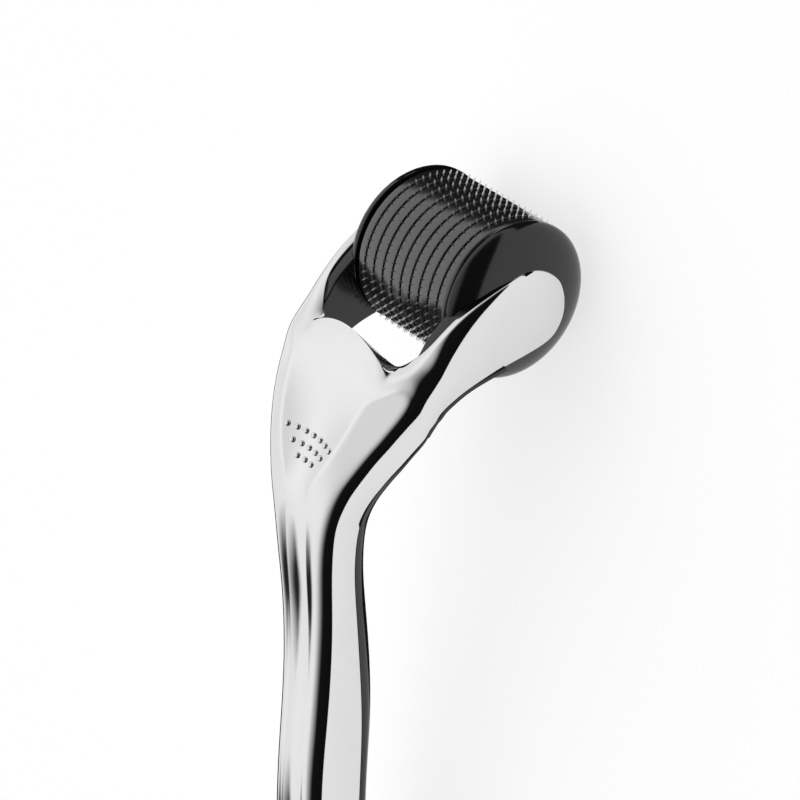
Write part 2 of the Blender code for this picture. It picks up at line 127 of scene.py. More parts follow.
class ShellSettings(bpy.types.PropertyGroup):
    """Sizes and colours of the handle's two shells."""

    chrome_colour: colour_setting("Chrome", "Colour of the plating", (0.745, 0.745, 0.75))
    chrome_roughness: share_setting("Chrome roughness", "Blur of the plating's reflections", 0.035)
    black_colour: colour_setting("Black", "Colour of the glossy back", (0.006, 0.006, 0.0065))
    black_roughness: share_setting("Black roughness", "Blur of the back's reflections", 0.10)
    smoothness: bpy.props.IntProperty(
        name="Smoothness", description="Subdivision levels of the shells", min=1, max=4, default=3)
    lip_width: length_setting(
        "Lip", "How far the black arm shows behind the plated one", 0.0, 0.002, 0.0005)
    cap_segments: bpy.props.IntProperty(
        name="Cap segments", description="Segments round each black cap", min=24, max=192, default=120)
    dot_diameter: length_setting("Dot diameter", "Diameter of a raised dot", 0.0002, 0.002, 0.00092)
    dot_height: length_setting(
        "Dot height", "Height of a raised dot over the scoop", 0.0001, 0.001, 0.00036)
    dot_pitch: length_setting("Dot pitch", "Distance between dots in a row", 0.0008, 0.003, 0.00159)


class RollerSettings(bpy.types.PropertyGroup):
    """Sizes and colours of the needle roller."""

    ring_colour: colour_setting("Rings", "Colour of the moulded rings", (0.007, 0.007, 0.007))
    ring_roughness: share_setting("Ring roughness", "Blur of the rings' reflections", 0.17)
    ring_segments: bpy.props.IntProperty(
        name="Ring segments", description="Segments round each ring", min=24, max=192, default=120)
    edge_radius: length_setting("Ring edge", "Radius of a spacer ring's edges", 0.00002, 0.0005, 0.00012)
    shoulder_radius: length_setting(
        "Shoulder", "Radius of an end ring's outer shoulder", 0.0001, 0.0012, 0.0007)
    steel_colour: colour_setting("Steel", "Colour of the needle discs", (0.72, 0.72, 0.73))
    needle_count: bpy.props.IntProperty(
        name="Needles", description="Needles on each disc", min=12, max=96, default=60)
    needle_width: length_setting(
        "Needle width", "Width of a needle at the ring's surface", 0.00005, 0.0005, 0.00018)
    disc_thickness: length_setting(
        "Disc thickness", "Thickness of a needle disc", 0.00005, 0.0003, 0.00018)


class StageSettings(bpy.types.PropertyGroup):
    """Floor, light and camera."""

    floor_colour: colour_setting("Floor", "Colour of the floor", (0.90, 0.90, 0.90))
    floor_size: length_setting("Floor size", "Width of the floor", 1.0, 40.0, 12.0)
    room_brightness: bpy.props.FloatProperty(
        name="Room", description="Brightness of the studio's white walls", min=0.0, max=4.0, default=1.08)
    key_power: bpy.props.FloatProperty(
        name="Key light", description="Power of the soft overhead light",
        subtype="POWER", unit="POWER", min=0.0, max=100.0, default=2.0)
    focal_length: bpy.props.FloatProperty(
        name="Focal length", description="Lens on a 36 mm sensor",
        subtype="DISTANCE_CAMERA", unit="CAMERA", min=20.0, max=400.0, default=172.55)
    azimuth: bpy.props.FloatProperty(
        name="Azimuth", description="Direction of the camera round the object",
        subtype="ANGLE", unit="ROTATION", default=math.radians(28.185))
    elevation: bpy.props.FloatProperty(
        name="Elevation", description="Height of the camera as an angle",
        subtype="ANGLE", unit="ROTATION", default=math.radians(37.065))
    roll: bpy.props.FloatProperty(
        name="Roll", description="Turn of the camera about its own line of sight",
        subtype="ANGLE", unit="ROTATION", default=math.radians(97.842))
    distance: length_setting("Distance", "From the camera to the point it looks at", 0.1, 5.0, 0.5166)


# ------------------------------
# Materials
# ------------------------------

class Wire:
    """A shader socket that takes part in plain arithmetic."""

    def __init__(self, graph, socket):
        self.graph = graph
        self.socket = socket

    def maths(self, operation, first, second):
        """A Math node on two values."""
        return self.graph.node("ShaderNodeMath", {"operation": operation}, {0: first, 1: second})

    def __add__(self, other):
        return self.maths("ADD", self, other)

    def __radd__(self, other):
        return self.maths("ADD", other, self)

    def __rsub__(self, other):
        return self.maths("SUBTRACT", other, self)

    def __mul__(self, other):
        return self.maths("MULTIPLY", self, other)

    def __rmul__(self, other):
        return self.maths("MULTIPLY", other, self)


class Graph:
    """The nodes of one material or world."""

    def __init__(self, owner):
        owner.use_nodes = True
        self.tree = owner.node_tree
        self.tree.nodes.clear()

    def node(self, kind, settings=None, sockets=None, output=0):
        """A node of a type, its settings first, then its sockets' values or links."""
        made = self.tree.nodes.new(kind)
        for name, value in (settings or {}).items():
            setattr(made, name, value)
        for key, value in (sockets or {}).items():
            if isinstance(value, Wire):
                self.tree.links.new(value.socket, made.inputs[key])
            else:
                made.inputs[key].default_value = value
        return Wire(self, made.outputs[output]) if len(made.outputs) else None

    def ease(self, value, start, end):
        """A smooth step from 0 at start to 1 at end."""
        return self.node("ShaderNodeMapRange", {"interpolation_type": "SMOOTHSTEP"},
                         {"Value": value, "From Min": start, "From Max": end})

    def noise(self, place, scale, detail, roughness=0.5):
        """Noise with cells of about 1 / scale metres."""
        return self.node("ShaderNodeTexNoise", {}, {
            "Vector": place, "Scale": scale, "Detail": detail, "Roughness": roughness})

    def place(self):
        """Object coordinates, in metres."""
        return self.node("ShaderNodeTexCoord", output="Object")

    def blend(self, factor, first, second):
        """A mix of two colours."""
        return self.node("ShaderNodeMix", {"data_type": "RGBA"}, {
            "Factor": factor, 6: (*first, 1.0), 7: (*second, 1.0)}, output=2)

    def bump(self, height, depth, strength):
        """A normal from a height in 0..1 and a depth in metres."""
        return self.node("ShaderNodeBump", {}, {
            "Height": height, "Distance": depth, "Strength": strength})


MATT = 0.95
FLOOR_SHARES = (0.38, 0.37)
FLOOR_GLOW = 0.83


def shade(colour, share):
    """A colour made lighter or darker."""
    return tuple(min(1.0, part * share) for part in colour)


def finish_material(graph, sockets):
    """The Principled shader and the output."""
    shader = graph.node("ShaderNodeBsdfPrincipled", {}, sockets)
    graph.node("ShaderNodeOutputMaterial", {}, {"Surface": shader})


def new_material(name):
    """An empty material and its graph."""
    material = bpy.data.materials.new(name)
    return material, Graph(material)


def chrome_material(settings):
    """Bright plating over moulded plastic: faint waviness, haze and handling marks."""
    material, graph = new_material("bright_chrome")
    place = graph.place()
    haze = graph.noise(place, 90.0, 4.0)
    waves = graph.noise(place, 140.0, 1.0)
    grain = graph.noise(place, 9000.0, 2.0)
    smudge = graph.ease(haze, 0.52, 0.72)
    finish_material(graph, {
        "Base Color": graph.blend(smudge, settings.chrome_colour, shade(settings.chrome_colour, 0.985)),
        "Metallic": 1.0,
        "Roughness": settings.chrome_roughness + 0.03 * smudge + 0.01 * grain,
        "Normal": graph.bump(waves, 0.00003, 0.35),
    })
    return material


def gloss_black_material(settings):
    """Polished black moulding with a light haze and fine hairline marks."""
    material, graph = new_material("polished_black")
    place = graph.place()
    haze = graph.noise(place, 120.0, 4.0)
    waves = graph.noise(place, 180.0, 1.0)
    stretched = graph.node("ShaderNodeMapping", {}, {"Vector": place, "Scale": (1.0, 9.0, 9.0)})
    hairs = graph.ease(graph.noise(stretched, 700.0, 2.0), 0.60, 0.68)
    finish_material(graph, {
        "Base Color": graph.blend(haze, settings.black_colour, shade(settings.black_colour, 1.8)),
        "Roughness": settings.black_roughness + 0.06 * haze + 0.05 * hairs,
        "Normal": graph.bump(waves, 0.00003, 0.4),
    })
    return material


def satin_black_material(settings):
    """Fine spark-eroded moulding finish on the rings."""
    material, graph = new_material("satin_black")
    place = graph.place()
    grain = graph.noise(place, 5200.0, 2.0, 0.6)
    wear = graph.noise(place, 300.0, 4.0)
    finish_material(graph, {
        "Base Color": graph.blend(grain, settings.ring_colour, shade(settings.ring_colour, 1.9)),
        "Roughness": settings.ring_roughness + 0.10 * grain + 0.05 * wear,
        "Specular IOR Level": 1.0,
        "Coat Weight": 0.45,
        "Coat Roughness": 0.14,
        "Normal": graph.bump(grain, 0.00001, 0.35),
    })
    return material


def needle_material(settings):
    """Etched stainless steel: bright, with a fine grain."""
    material, graph = new_material("needle_steel_bright")
    place = graph.place()
    grain = graph.noise(place, 4000.0, 3.0)
    finish_material(graph, {
        "Base Color": graph.blend(grain, settings.steel_colour, shade(settings.steel_colour, 0.85)),
        "Metallic": 1.0,
        "Roughness": 0.28 + 0.12 * grain,
        "Normal": graph.bump(grain, 0.00001, 0.4),
    })
    return material


def pin_material(settings):
    """Turned steel with fine rings from the lathe."""
    material, graph = new_material("turned_steel")
    place = graph.place()
    stretched = graph.node("ShaderNodeMapping", {}, {"Vector": place, "Scale": (0.02, 1.0, 0.02)})
    rings = graph.noise(stretched, 9000.0, 2.0)
    finish_material(graph, {
        "Base Color": graph.blend(rings, settings.steel_colour, shade(settings.steel_colour, 0.8)),
        "Metallic": 1.0,
        "Roughness": 0.24 + 0.12 * rings,
        "Normal": graph.bump(rings, 0.00002, 0.5),
    })
    return material


def hub_material(settings):
    """Plain moulded black inside the roller."""
    material, graph = new_material("moulded_black")
    place = graph.place()
    grain = graph.noise(place, 2600.0, 3.0)
    finish_material(graph, {
        "Base Color": graph.blend(grain, settings.ring_colour, shade(settings.ring_colour, 2.2)),
        "Roughness": 0.48 + 0.14 * grain,
        "Normal": graph.bump(grain, 0.00004, 0.6),
    })
    return material


def floor_material(settings):
    """A pale, even studio floor that glows, as an overlit white floor does."""
    material, graph = new_material("studio_floor")
    cloud = graph.noise(graph.place(), 2.0, 2.0)
    pale, dull = (shade(settings.floor_colour, share) for share in FLOOR_SHARES)
    finish_material(graph, {
        "Base Color": graph.blend(cloud, pale, dull),
        "Roughness": MATT,
        "Specular IOR Level": 0.0,
        "Emission Color": graph.blend(cloud, settings.floor_colour, shade(settings.floor_colour, 0.985)),
        "Emission Strength": FLOOR_GLOW,
    })
    return material


# ------------------------------
# Shape helpers
# ------------------------------

def lerp(first, second, share):
    """A point between two others."""
    return tuple(a + (b - a) * share for a, b in zip(first, second))


def unit(vector):
    """A direction of length one."""
    length = math.sqrt(sum(part * part for part in vector))
    return tuple(part / length for part in vector)


def add_object(name, data, material=None):
    """Link a named object and give it its material."""
    obj = bpy.data.objects.new(name, data)
    bpy.context.scene.collection.objects.link(obj)
    if material is not None:
        data.materials.clear()
        data.materials.append(material)
    return obj


def smooth_shading(obj, angle):
    """Smooth shading with sharp edges above an angle in degrees."""
    obj.data.shade_smooth()
    obj.data.set_sharp_from_angle(angle=math.radians(angle))


def add_boolean(obj, tool, operation):
    """Cut or join with another object."""
    step = obj.modifiers.new(operation.title(), "BOOLEAN")
    step.operation = operation
    step.solver = "EXACT"
    step.object = tool


def finished_mesh(obj):
    """An object's mesh with its modifiers applied."""
    bpy.context.view_layer.update()
    evaluated = obj.evaluated_get(bpy.context.evaluated_depsgraph_get())
    return bpy.data.meshes.new_from_object(evaluated)


def mesh_from(bm, name):
    """A new mesh that takes over a bmesh."""
    mesh = bpy.data.meshes.new(name)
    bm.to_mesh(mesh)
    bm.free()
    return mesh


def flat_panel(name, size, material):
    """A square panel lying flat."""
    bm = bmesh.new()
    bmesh.ops.create_grid(bm, x_segments=1, y_segments=1, size=0.5 * size)
    return add_object(name, mesh_from(bm, name), material)


def settle(obj, tools=()):
    """Apply every modifier of an object and remove the objects it was made with."""
    mesh = finished_mesh(obj)
    obj.modifiers.clear()
    old = obj.data
    obj.data = mesh
    mesh.name = obj.name
    bpy.data.meshes.remove(old)
    for tool in tools:
        bpy.data.objects.remove(tool, do_unlink=True)


def smooth_line(points, steps):
    """A smooth curve through points, with a few steps between each pair."""
    line = []
    padded = [points[0], *points, points[-1]]
    for before, start, end, after in zip(padded, padded[1:], padded[2:], padded[3:]):
        for step in range(steps):
            t = step / steps
            line.append(tuple(
                0.5 * (2.0 * b + (c - a) * t + (2.0 * a - 5.0 * b + 4.0 * c - d) * t * t
                       + (3.0 * b - a - 3.0 * c + d) * t * t * t)
                for a, b, c, d in zip(before, start, end, after)))
    line.append(points[-1])
    return line


def turned(name, profile, segments):
    """A solid of revolution about its own Z, from (radius, z) points down its outer side."""
    bm = bmesh.new()
    line = [bm.verts.new((radius, 0.0, height)) for radius, height in profile]
    for start, end in zip(line, line[1:]):
        bm.edges.new((start, end))
    obj = add_object(name, mesh_from(bm, name))
    screw = obj.modifiers.new("Turn", "SCREW")
    screw.axis = "Z"
    screw.steps = segments
    screw.render_steps = segments
    screw.use_merge_vertices = True
    screw.merge_threshold = 0.0000005
    return obj


def arc(centre, radius, start, end, steps):
    """Points on an arc in a profile, angles in degrees."""
    points = []
    for step in range(steps + 1):
        angle = math.radians(start + (end - start) * step / steps)
        points.append((centre[0] + radius * math.cos(angle), centre[1] + radius * math.sin(angle)))
    return points


def loft_half(name, rows, creases, inner, outer):
    """A half body open at y = 0, lofted from rows of points; None leaves a column out.

    Where a row lacks its middle columns, the columns inner and outer are joined, and the first
    full row is closed between its upper and lower middle columns."""
    bm = bmesh.new()
    crease = bm.edges.layers.float.new("crease_edge")
    grid = [[bm.verts.new(TO_WORLD @ Vector(p)) if p else None for p in row] for row in rows]
    last = len(rows[0]) - 1
    for above, below in zip(grid, grid[1:]):
        for column in range(last):
            corners = (above[column], above[column + 1], below[column + 1], below[column])
            if None not in corners:
                bm.faces.new(corners)
        if above[0] is None:
            bm.faces.new((above[outer], above[inner], below[inner], below[outer]))
    first = next(row for row in grid if row[0])
    if first is not grid[0]:
        for step in range(inner):
            bm.faces.new((first[step + 1], first[step], first[last - step], first[last - 1 - step]))
    bm.faces.new([vert for vert in reversed(grid[0]) if vert])
    bm.faces.new(grid[-1])
    for row_a, column_a, row_b, column_b, weight in creases(rows):
        start, end = grid[row_a][column_a], grid[row_b][column_b]
        edge = bm.edges.get((start, end)) if start and end else None
        if edge:
            edge[crease] = weight
    bmesh.ops.recalc_face_normals(bm, faces=bm.faces)
    return mesh_from(bm, name)


def round_half(obj, levels):
    """Mirror a half body across the middle and round it by subdivision."""
    mirror = obj.modifiers.new("Mirror", "MIRROR")
    mirror.use_axis = (False, True, False)
    mirror.merge_threshold = 0.00001
    smooth = obj.modifiers.new("Round", "SUBSURF")
    smooth.levels = levels
    smooth.render_levels = levels


# ------------------------------
# Shell shapes, in millimetres in the handle's frame
# ------------------------------

# Tip of the plated arm: a round end lying on the black cap
TIP_RADIUS = 6.3
TIP_CENTRE = (-0.7, 0.0)
TIP_POLE_ANGLE = -71.0
TIP_EDGE_Y = 13.55
TIP_FOOT_Y = 12.95
TIP_CROWN_Y = 14.75
# Rows of the tip: degrees from the pole and share of the crown's height
TIP_ROWS = ((13.0, 0.20), (34.0, 0.60), (55.0, 0.86), (76.0, 0.97))
# Section across a row: share of the way from front to back and share of the row's height
TIP_SECTION = ((0.0, -0.55), (0.0, 0.0), (0.05, 0.62), (0.14, 0.88), (0.30, 1.0), (0.50, 1.03),
               (0.78, 0.92), (1.0, 0.25))

# Plated arm, tip to crotch: inner edge (x, y, z), outer corner (x, y, z), back edge (x, z)
ARM_STATIONS = (
    ((4.7, 13.0, 3.4), (2.9, 14.7, 4.0), (-7.4, 3.6)),
    ((3.1, 12.5, 7.2), (0.2, 14.9, 7.4), (-8.2, 7.0)),
    ((1.2, 12.3, 10.7), (-2.4, 14.9, 10.7), (-9.2, 10.2)),
    ((-1.5, 12.1, 13.9), (-4.9, 14.9, 13.6), (-10.8, 13.2)),
    ((-3.4, 11.3, 15.2), (-6.3, 14.85, 15.0), (-11.8, 14.3)),
)
ARM_INNER_Y = 12.35
ARM_BACK_INSET = 0.75
ARM_UNDER_SHARE = 0.06

# Crotch: the wall's lower edge, the lip over it and the back of the lip's collar, each from the
# middle to the side and on to the arm's inner edge; then outer corner and back edge
WALL_ROW = (
    ((-5.6, 0.0, 17.1), (-5.8, 2.9, 17.1), (-6.2, 5.4, 17.1), (-6.5, 7.4, 17.1), (-6.0, 9.0, 16.9)),
    (-7.1, 14.8, 15.9), (-12.3, 14.9),
)
LIP_ROW = (
    ((-2.7, 0.0, 19.6), (-3.15, 3.1, 19.6), (-4.3, 5.9, 19.55), (-5.7, 7.9, 19.45), (-6.7, 9.0, 19.2)),
    (-8.1, 14.75, 16.85), (-12.9, 15.4),
)
COLLAR_ROW = (
    ((-4.6, 0.0, 19.75), (-5.0, 3.1, 19.75), (-5.95, 5.8, 19.8), (-7.05, 7.7, 19.9), (-7.9, 8.9, 20.3)),
    (-8.7, 14.65, 17.5), (-13.5, 15.9),
)
CROTCH_UNDERS = ((-8.9, 16.75), (-10.4, 16.9), (-12.2, 16.7))
CROTCH_REACHES = (8.2, 6.6, 4.6, 2.4, 0.0)
CROTCH_BACK_INSET = 0.5

# Degrees from the front round to the side: a rounded corner's first point, the point it is
# listed by and its other points
CORNER_START = 18.0
CORNER_END = math.radians(71.0)
CORNER_STEPS = (45.0, 70.0, 91.0)
SHOULDER_SHARE = 0.45
SIDE_SHARE = 0.62
SIDE_SWELL = 0.05
# Swell of the shoulder between a row's inner edge and its corner
ARM_BULGE = 0.05
CROTCH_BULGE = 0.1
BODY_BULGE = 0.08

# Each row's corner radius across the roller's axis and, for the fork, its depth front to back
ARM_RADII = (1.1, 1.7, 2.3, 2.9, 3.4)
ARM_DEPTHS = (3.0, 4.8, 5.9, 5.6, 5.0)
CROTCH_RADII = (4.0, 3.9, 3.7)
CROTCH_DEPTHS = (4.6, 4.2, 3.9)
NECK_RADII = (3.5, 3.2, 2.9, 2.6)
BODY_RADIUS = 2.5
# Limits on a body row's corner: radius by half width, and drop below the ridge by radius
RADIUS_LIMIT = 0.49
RIDGE_DROP = 0.66
SCOOP_SHARES = (0.0, 0.36, 0.68, 0.88)
SEAM_STEP = 0.15
SEAM_EDGE = 1.0
UNDER_SHARES = (0.8, 0.6, 0.4, 0.2, 0.0)

# Neck and handle to the butt: outer corner (x, z), seam (x, z), half width, half width and
# height of the ridge, depth of the scoop (negative crowns the top), depth of the black back
BODY_STATIONS = (
    ((-9.2, 18.15), (-14.2, 16.4), 14.45, 8.85, 21.15, 0.12, 1.9),
    ((-9.95, 19.2), (-15.6, 17.4), 13.95, 8.6, 22.25, 0.55, 2.0),
    ((-12.3, 20.3), (-17.1, 18.3), 13.3, 8.0, 23.40, 1.0, 2.0),
    ((-14.4, 21.5), (-18.6, 19.0), 12.6, 7.35, 24.35, 1.4, 2.1),
    ((-16.7, 22.6), (-20.2, 19.7), 11.65, 6.45, 25.25, 1.6, 2.1),
    ((-19.05, 23.45), (-21.8, 20.2), 10.75, 5.45, 26.0, 1.45, 2.2),
    ((-21.5, 24.2), (-23.6, 20.7), 9.75, 4.2, 26.65, 1.05, 2.2),
    ((-23.7, 24.75), (-25.4, 21.0), 8.8, 3.0, 27.0, 0.5, 2.3),
    ((-27.0, 25.2), (-27.8, 21.3), 7.75, 2.5, 27.0, -0.1, 2.4),
    ((-30.9, 25.5), (-31.2, 21.4), 6.7, 2.4, 26.9, -0.2, 2.5),
    ((-37.5, 25.2), (-37.5, 21.2), 6.1, 2.3, 26.5, -0.2, 2.6),
    ((-44.0, 24.5), (-44.0, 20.2), 5.7, 2.2, 25.8, -0.2, 2.7),
    ((-53.0, 24.2), (-53.0, 19.0), 5.3, 2.1, 25.5, -0.2, 2.9),
    ((-62.0, 24.5), (-62.0, 18.0), 5.1, 2.1, 25.8, -0.2, 2.5),
    ((-71.0, 25.0), (-71.0, 17.9), 5.0, 2.1, 26.3, -0.2, 2.0),
    ((-84.0, 24.8), (-84.0, 18.2), 5.3, 2.2, 26.1, -0.2, 2.2),
    ((-98.0, 23.0), (-98.0, 17.2), 5.8, 2.4, 24.3, -0.2, 2.8),
    ((-112.0, 19.8), (-112.0, 14.8), 6.2, 2.6, 21.1, -0.2, 3.2),
    ((-122.0, 16.9), (-122.0, 12.6), 6.05, 2.5, 18.1, -0.2, 3.2),
    ((-128.5, 14.8), (-128.3, 10.9), 5.3, 2.2, 15.9, -0.2, 3.0),
    ((-131.6, 13.6), (-131.2, 10.4), 4.0, 1.7, 14.5, -0.15, 2.5),
    ((-132.9, 12.9), (-132.4, 10.3), 2.4, 1.0, 13.5, -0.1, 1.9),
)
SEAM_COLUMN = 11
RIDGE_COLUMN = 4
FRONT_INNER = 4
FRONT_OUTER = 13

# Creases of the wall's foot, the lip and the collar, from the middle outwards
LIP_CREASES = ((1.0, 0.85, 0.35), (1.0, 0.85, 0.35), (1.0, 0.85, 0.3), (0.9, 0.5, 0.0))

# Black back: gap along the seam, inset from the plated side, and the row that starts it under the
# fork with the point its middle is drawn to and the way it faces
SEAM_LINE = 0.04
BACK_INSET = 0.12
BACK_START = ((-7.2, 17.0), (-12.9, 15.4), 14.4, 8.8, 19.2, 0.0, 0.5)
BACK_START_CENTRE = (-6.4, 16.8)
BACK_START_DOWN = (-0.1, -1.0)
# The back's inner step, the swell of its side and how far down that is, then its outer section:
# share of the way to the centre, of the half width and of the depth
BACK_STEP = 0.8
BACK_SWELL = 0.06
BACK_SIDE_SHARE = 0.42
BACK_SECTION = ((0.25, 0.86, 0.84), (0.7, 0.52, 1.0), (1.0, 0.0, 1.0))

# Black arm and lip plates: inner side, outer side, edge radius; then how the arm's outline ends
# and how far it and the lip stand off the plated arm
ARM_PLATE = (10.2, 12.3, 0.22)
LIP_PLATE = (11.6, 14.2, 0.0)
ARM_FRONT_ENDS = ((5.0, -2.0), (-5.6, 16.3))
ARM_BACK_ENDS = ((-14.0, 15.7), (-6.2, -2.0))
ARM_FRONT_INSET = (0.3, 0.2)
ARM_BACK_DROP = 0.25
LIP_GAP = 0.05

# Black cap: radii of the dome, its cut rim and its inner edge; heights of the dome and its faces
DOME_RADIUS = 11.22
CAP_RADIUS = 11.15
CAP_INNER_RADIUS = 11.08
CAP_HUB_RADIUS = 3.0
DOME_RISE = 3.7
DOME_FOOT = 10.22
CAP_FACE = 10.12
CAP_HUB_FACE = 9.9
DOME_STEPS = 24

# Lowest point of the black heel, in metres
HEEL_HEIGHT = 0.00002

# Rows of raised dots: place along the handle and number of dots
DOT_ROWS = ((-18.15, 7), (-19.85, 5), (-21.45, 3))


def outline_row(inner, corner, back, bulge, radius, depth=None):
    """Seven columns from the ridge: inner edge or ridge, shoulder, round corner and flat side."""
    forward = unit((corner[0] - back[0], corner[2] - back[1]))

    def rounded(angle):
        turn = math.radians(angle)
        rise = (depth or radius) * (math.cos(turn) - math.cos(CORNER_END))
        out = corner[1] + radius * (math.sin(turn) - math.sin(CORNER_END))
        return (corner[0] + forward[0] * rise, out, corner[2] + forward[1] * rise)

    start = rounded(CORNER_START)
    shoulder = lerp(inner, start, SHOULDER_SHARE)
    side = lerp((corner[0], corner[2]), back, SIDE_SHARE)
    return [
        inner,
        (shoulder[0] + forward[0] * bulge, shoulder[1], shoulder[2] + forward[1] * bulge),
        start,
        *(rounded(angle) for angle in CORNER_STEPS),
        (side[0], corner[1] + SIDE_SWELL * radius, side[1]),
    ]


def tip_rows():
    """Rows round the arm's tip, from the pole up both sides."""
    rows = []
    for spread, fullness in TIP_ROWS:
        ends = []
        for sign in (1.0, -1.0):
            angle = math.radians(TIP_POLE_ANGLE + sign * spread)
            ends.append((TIP_CENTRE[0] + TIP_RADIUS * math.cos(angle),
                         TIP_CENTRE[1] + TIP_RADIUS * math.sin(angle)))
        front, back = ends
        rise = (TIP_CROWN_Y - TIP_EDGE_Y) * fullness
        row = [None] * RIDGE_COLUMN
        for share, height in TIP_SECTION:
            x, z = lerp(front, back, share)
            row.append((x, TIP_EDGE_Y + rise * height, z))
        row.append((back[0], TIP_FOOT_Y, back[1]))
        row.append((front[0], TIP_FOOT_Y, front[1]))
        rows.append(row + [None] * RIDGE_COLUMN)
    return rows


def arm_rows():
    """Rows up the plated arm."""
    rows = []
    for (inner, corner, back), radius, depth in zip(ARM_STATIONS, ARM_RADII, ARM_DEPTHS):
        row = [None] * RIDGE_COLUMN
        row.extend(outline_row(inner, corner, back, ARM_BULGE, radius, depth))
        row.append((back[0], corner[1] - ARM_BACK_INSET, back[1]))
        row.append((back[0], ARM_INNER_Y, back[1]))
        under = lerp(inner, (back[0], inner[1], back[1]), ARM_UNDER_SHARE)
        row.append((under[0], min(inner[1], ARM_INNER_Y), under[2]))
        rows.append(row + [None] * RIDGE_COLUMN)
    return rows


def crotch_rows():
    """Wall, lip and collar rows, which close the fork."""
    rows = []
    stations = zip((WALL_ROW, LIP_ROW, COLLAR_ROW), CROTCH_UNDERS, CROTCH_RADII, CROTCH_DEPTHS)
    for (middles, corner, back), under, radius, depth in stations:
        row = list(middles[:RIDGE_COLUMN])
        row.extend(outline_row(middles[RIDGE_COLUMN], corner, back, CROTCH_BULGE, radius, depth))
        row.append((back[0], corner[1] - CROTCH_BACK_INSET, back[1]))
        row.append((back[0], ARM_INNER_Y, back[1]))
        row.extend((under[0], reach, under[1]) for reach in CROTCH_REACHES)
        rows.append(row)
    return rows


def body_row(station, radius):
    """One row of the neck or handle, from the centre over the side to the seam and back."""
    (corner_x, corner_z), seam, half_width, ridge_half, ridge_z, scoop, _depth = station
    row = []
    for share in SCOOP_SHARES:
        row.append((corner_x, share * ridge_half, ridge_z - scoop * (1.0 - share * share)))
    ridge = (corner_x, ridge_half, ridge_z)
    radius = min(radius, RADIUS_LIMIT * half_width)
    edge = (corner_x, half_width, min(corner_z, ridge_z - RIDGE_DROP * radius))
    row.extend(outline_row(ridge, edge, seam, BODY_BULGE, radius))
    row.append((seam[0], half_width - SEAM_STEP, seam[1]))
    inner_half = half_width - SEAM_EDGE
    row.append((seam[0], inner_half, seam[1]))
    row.extend((seam[0], share * inner_half, seam[1]) for share in UNDER_SHARES)
    return row


def front_creases(rows):
    """Crisp edges of the plated shell: seam, arm edges, lip and the wall's foot."""
    wall = next(index for index, row in enumerate(rows) if row[0])
    for index in range(len(rows) - 1):
        for column, weight in ((SEAM_COLUMN, 0.9), (SEAM_COLUMN + 1, 1.0), (FRONT_OUTER, 1.0)):
            yield index, column, index + 1, column, weight
        if index < wall:
            yield index, RIDGE_COLUMN, index + 1, RIDGE_COLUMN, 0.9
    for column, weights in enumerate(LIP_CREASES):
        for row, weight in enumerate(weights, wall):
            yield row, column, row, column + 1, weight


def back_creases(rows):
    """Crisp edges of the black strip: along the seam only."""
    for index in range(len(rows) - 1):
        for column in (2, 3):
            yield index, column, index + 1, column, 1.0


def back_rows():
    """Rows of the black strip along the handle's back."""
    rows = []
    for station in (BACK_START, *BODY_STATIONS):
        corner, seam, half_width, _ridge, _height, _scoop, depth = station
        centre, way = seam, (seam[0] - corner[0], seam[1] - corner[1])
        if station is BACK_START:
            centre, way = BACK_START_CENTRE, BACK_START_DOWN
        down = unit(way)
        width = half_width - BACK_INSET
        section = [(1.0, 0.0, SEAM_LINE), (0.6, 0.5 * width, SEAM_LINE),
                   (0.0, width - BACK_STEP, SEAM_LINE), (0.0, width, SEAM_LINE),
                   (0.0, width + BACK_SWELL, BACK_SIDE_SHARE * depth)]
        section.extend((toward, out * width, drop * depth) for toward, out, drop in BACK_SECTION)
        row = []
        for toward, y, drop in section:
            base = lerp(seam, centre, toward)
            row.append((base[0] + down[0] * drop, y, base[1] + down[1] * drop))
        rows.append(row)
    return rows


# ------------------------------
# Pieces
# ------------------------------

def make_front_shell(settings, material):
    """The plated front with its scooped neck."""
    rows = tip_rows() + arm_rows() + crotch_rows()
    for index, station in enumerate(BODY_STATIONS):
        rows.append(body_row(station, NECK_RADII[index] if index < len(NECK_RADII) else BODY_RADIUS))
    mesh = loft_half("plated_front", rows, front_creases, FRONT_INNER, FRONT_OUTER)
    shell = add_object("plated_front", mesh, material)
    round_half(shell, settings.smoothness)
    settle(shell)
    smooth_shading(shell, 40.0)
    return shell


def make_dots(settings, shell, material):
    """Fifteen low domes in three rows on the floor of the scoop."""
    radius = 0.5 * settings.dot_diameter
    pitch = settings.dot_pitch / MM
    down = TO_WORLD.to_3x3() @ Vector((0.0, 0.0, -1.0))
    down.normalize()
    pieces = bmesh.new()
    for along, count in DOT_ROWS:
        for number in range(count):
            y = (number - 0.5 * (count - 1)) * pitch
            start = TO_WORLD @ Vector((along, y, 40.0))
            hit, place, normal, _face = shell.ray_cast(start, down)
            if not hit:
                raise RuntimeError("a raised dot missed the scoop")
            turn = normal.to_track_quat("Z", "Y").to_matrix().to_4x4()
            stretch = Matrix.Diagonal((1.0, 1.0, settings.dot_height / radius, 1.0))
            bmesh.ops.create_uvsphere(pieces, u_segments=28, v_segments=16, radius=radius,
                                      matrix=Matrix.Translation(place) @ turn @ stretch)
    dots = add_object("raised_dots", mesh_from(pieces, "raised_dots"), material)
    dots.data.shade_smooth()
    return dots


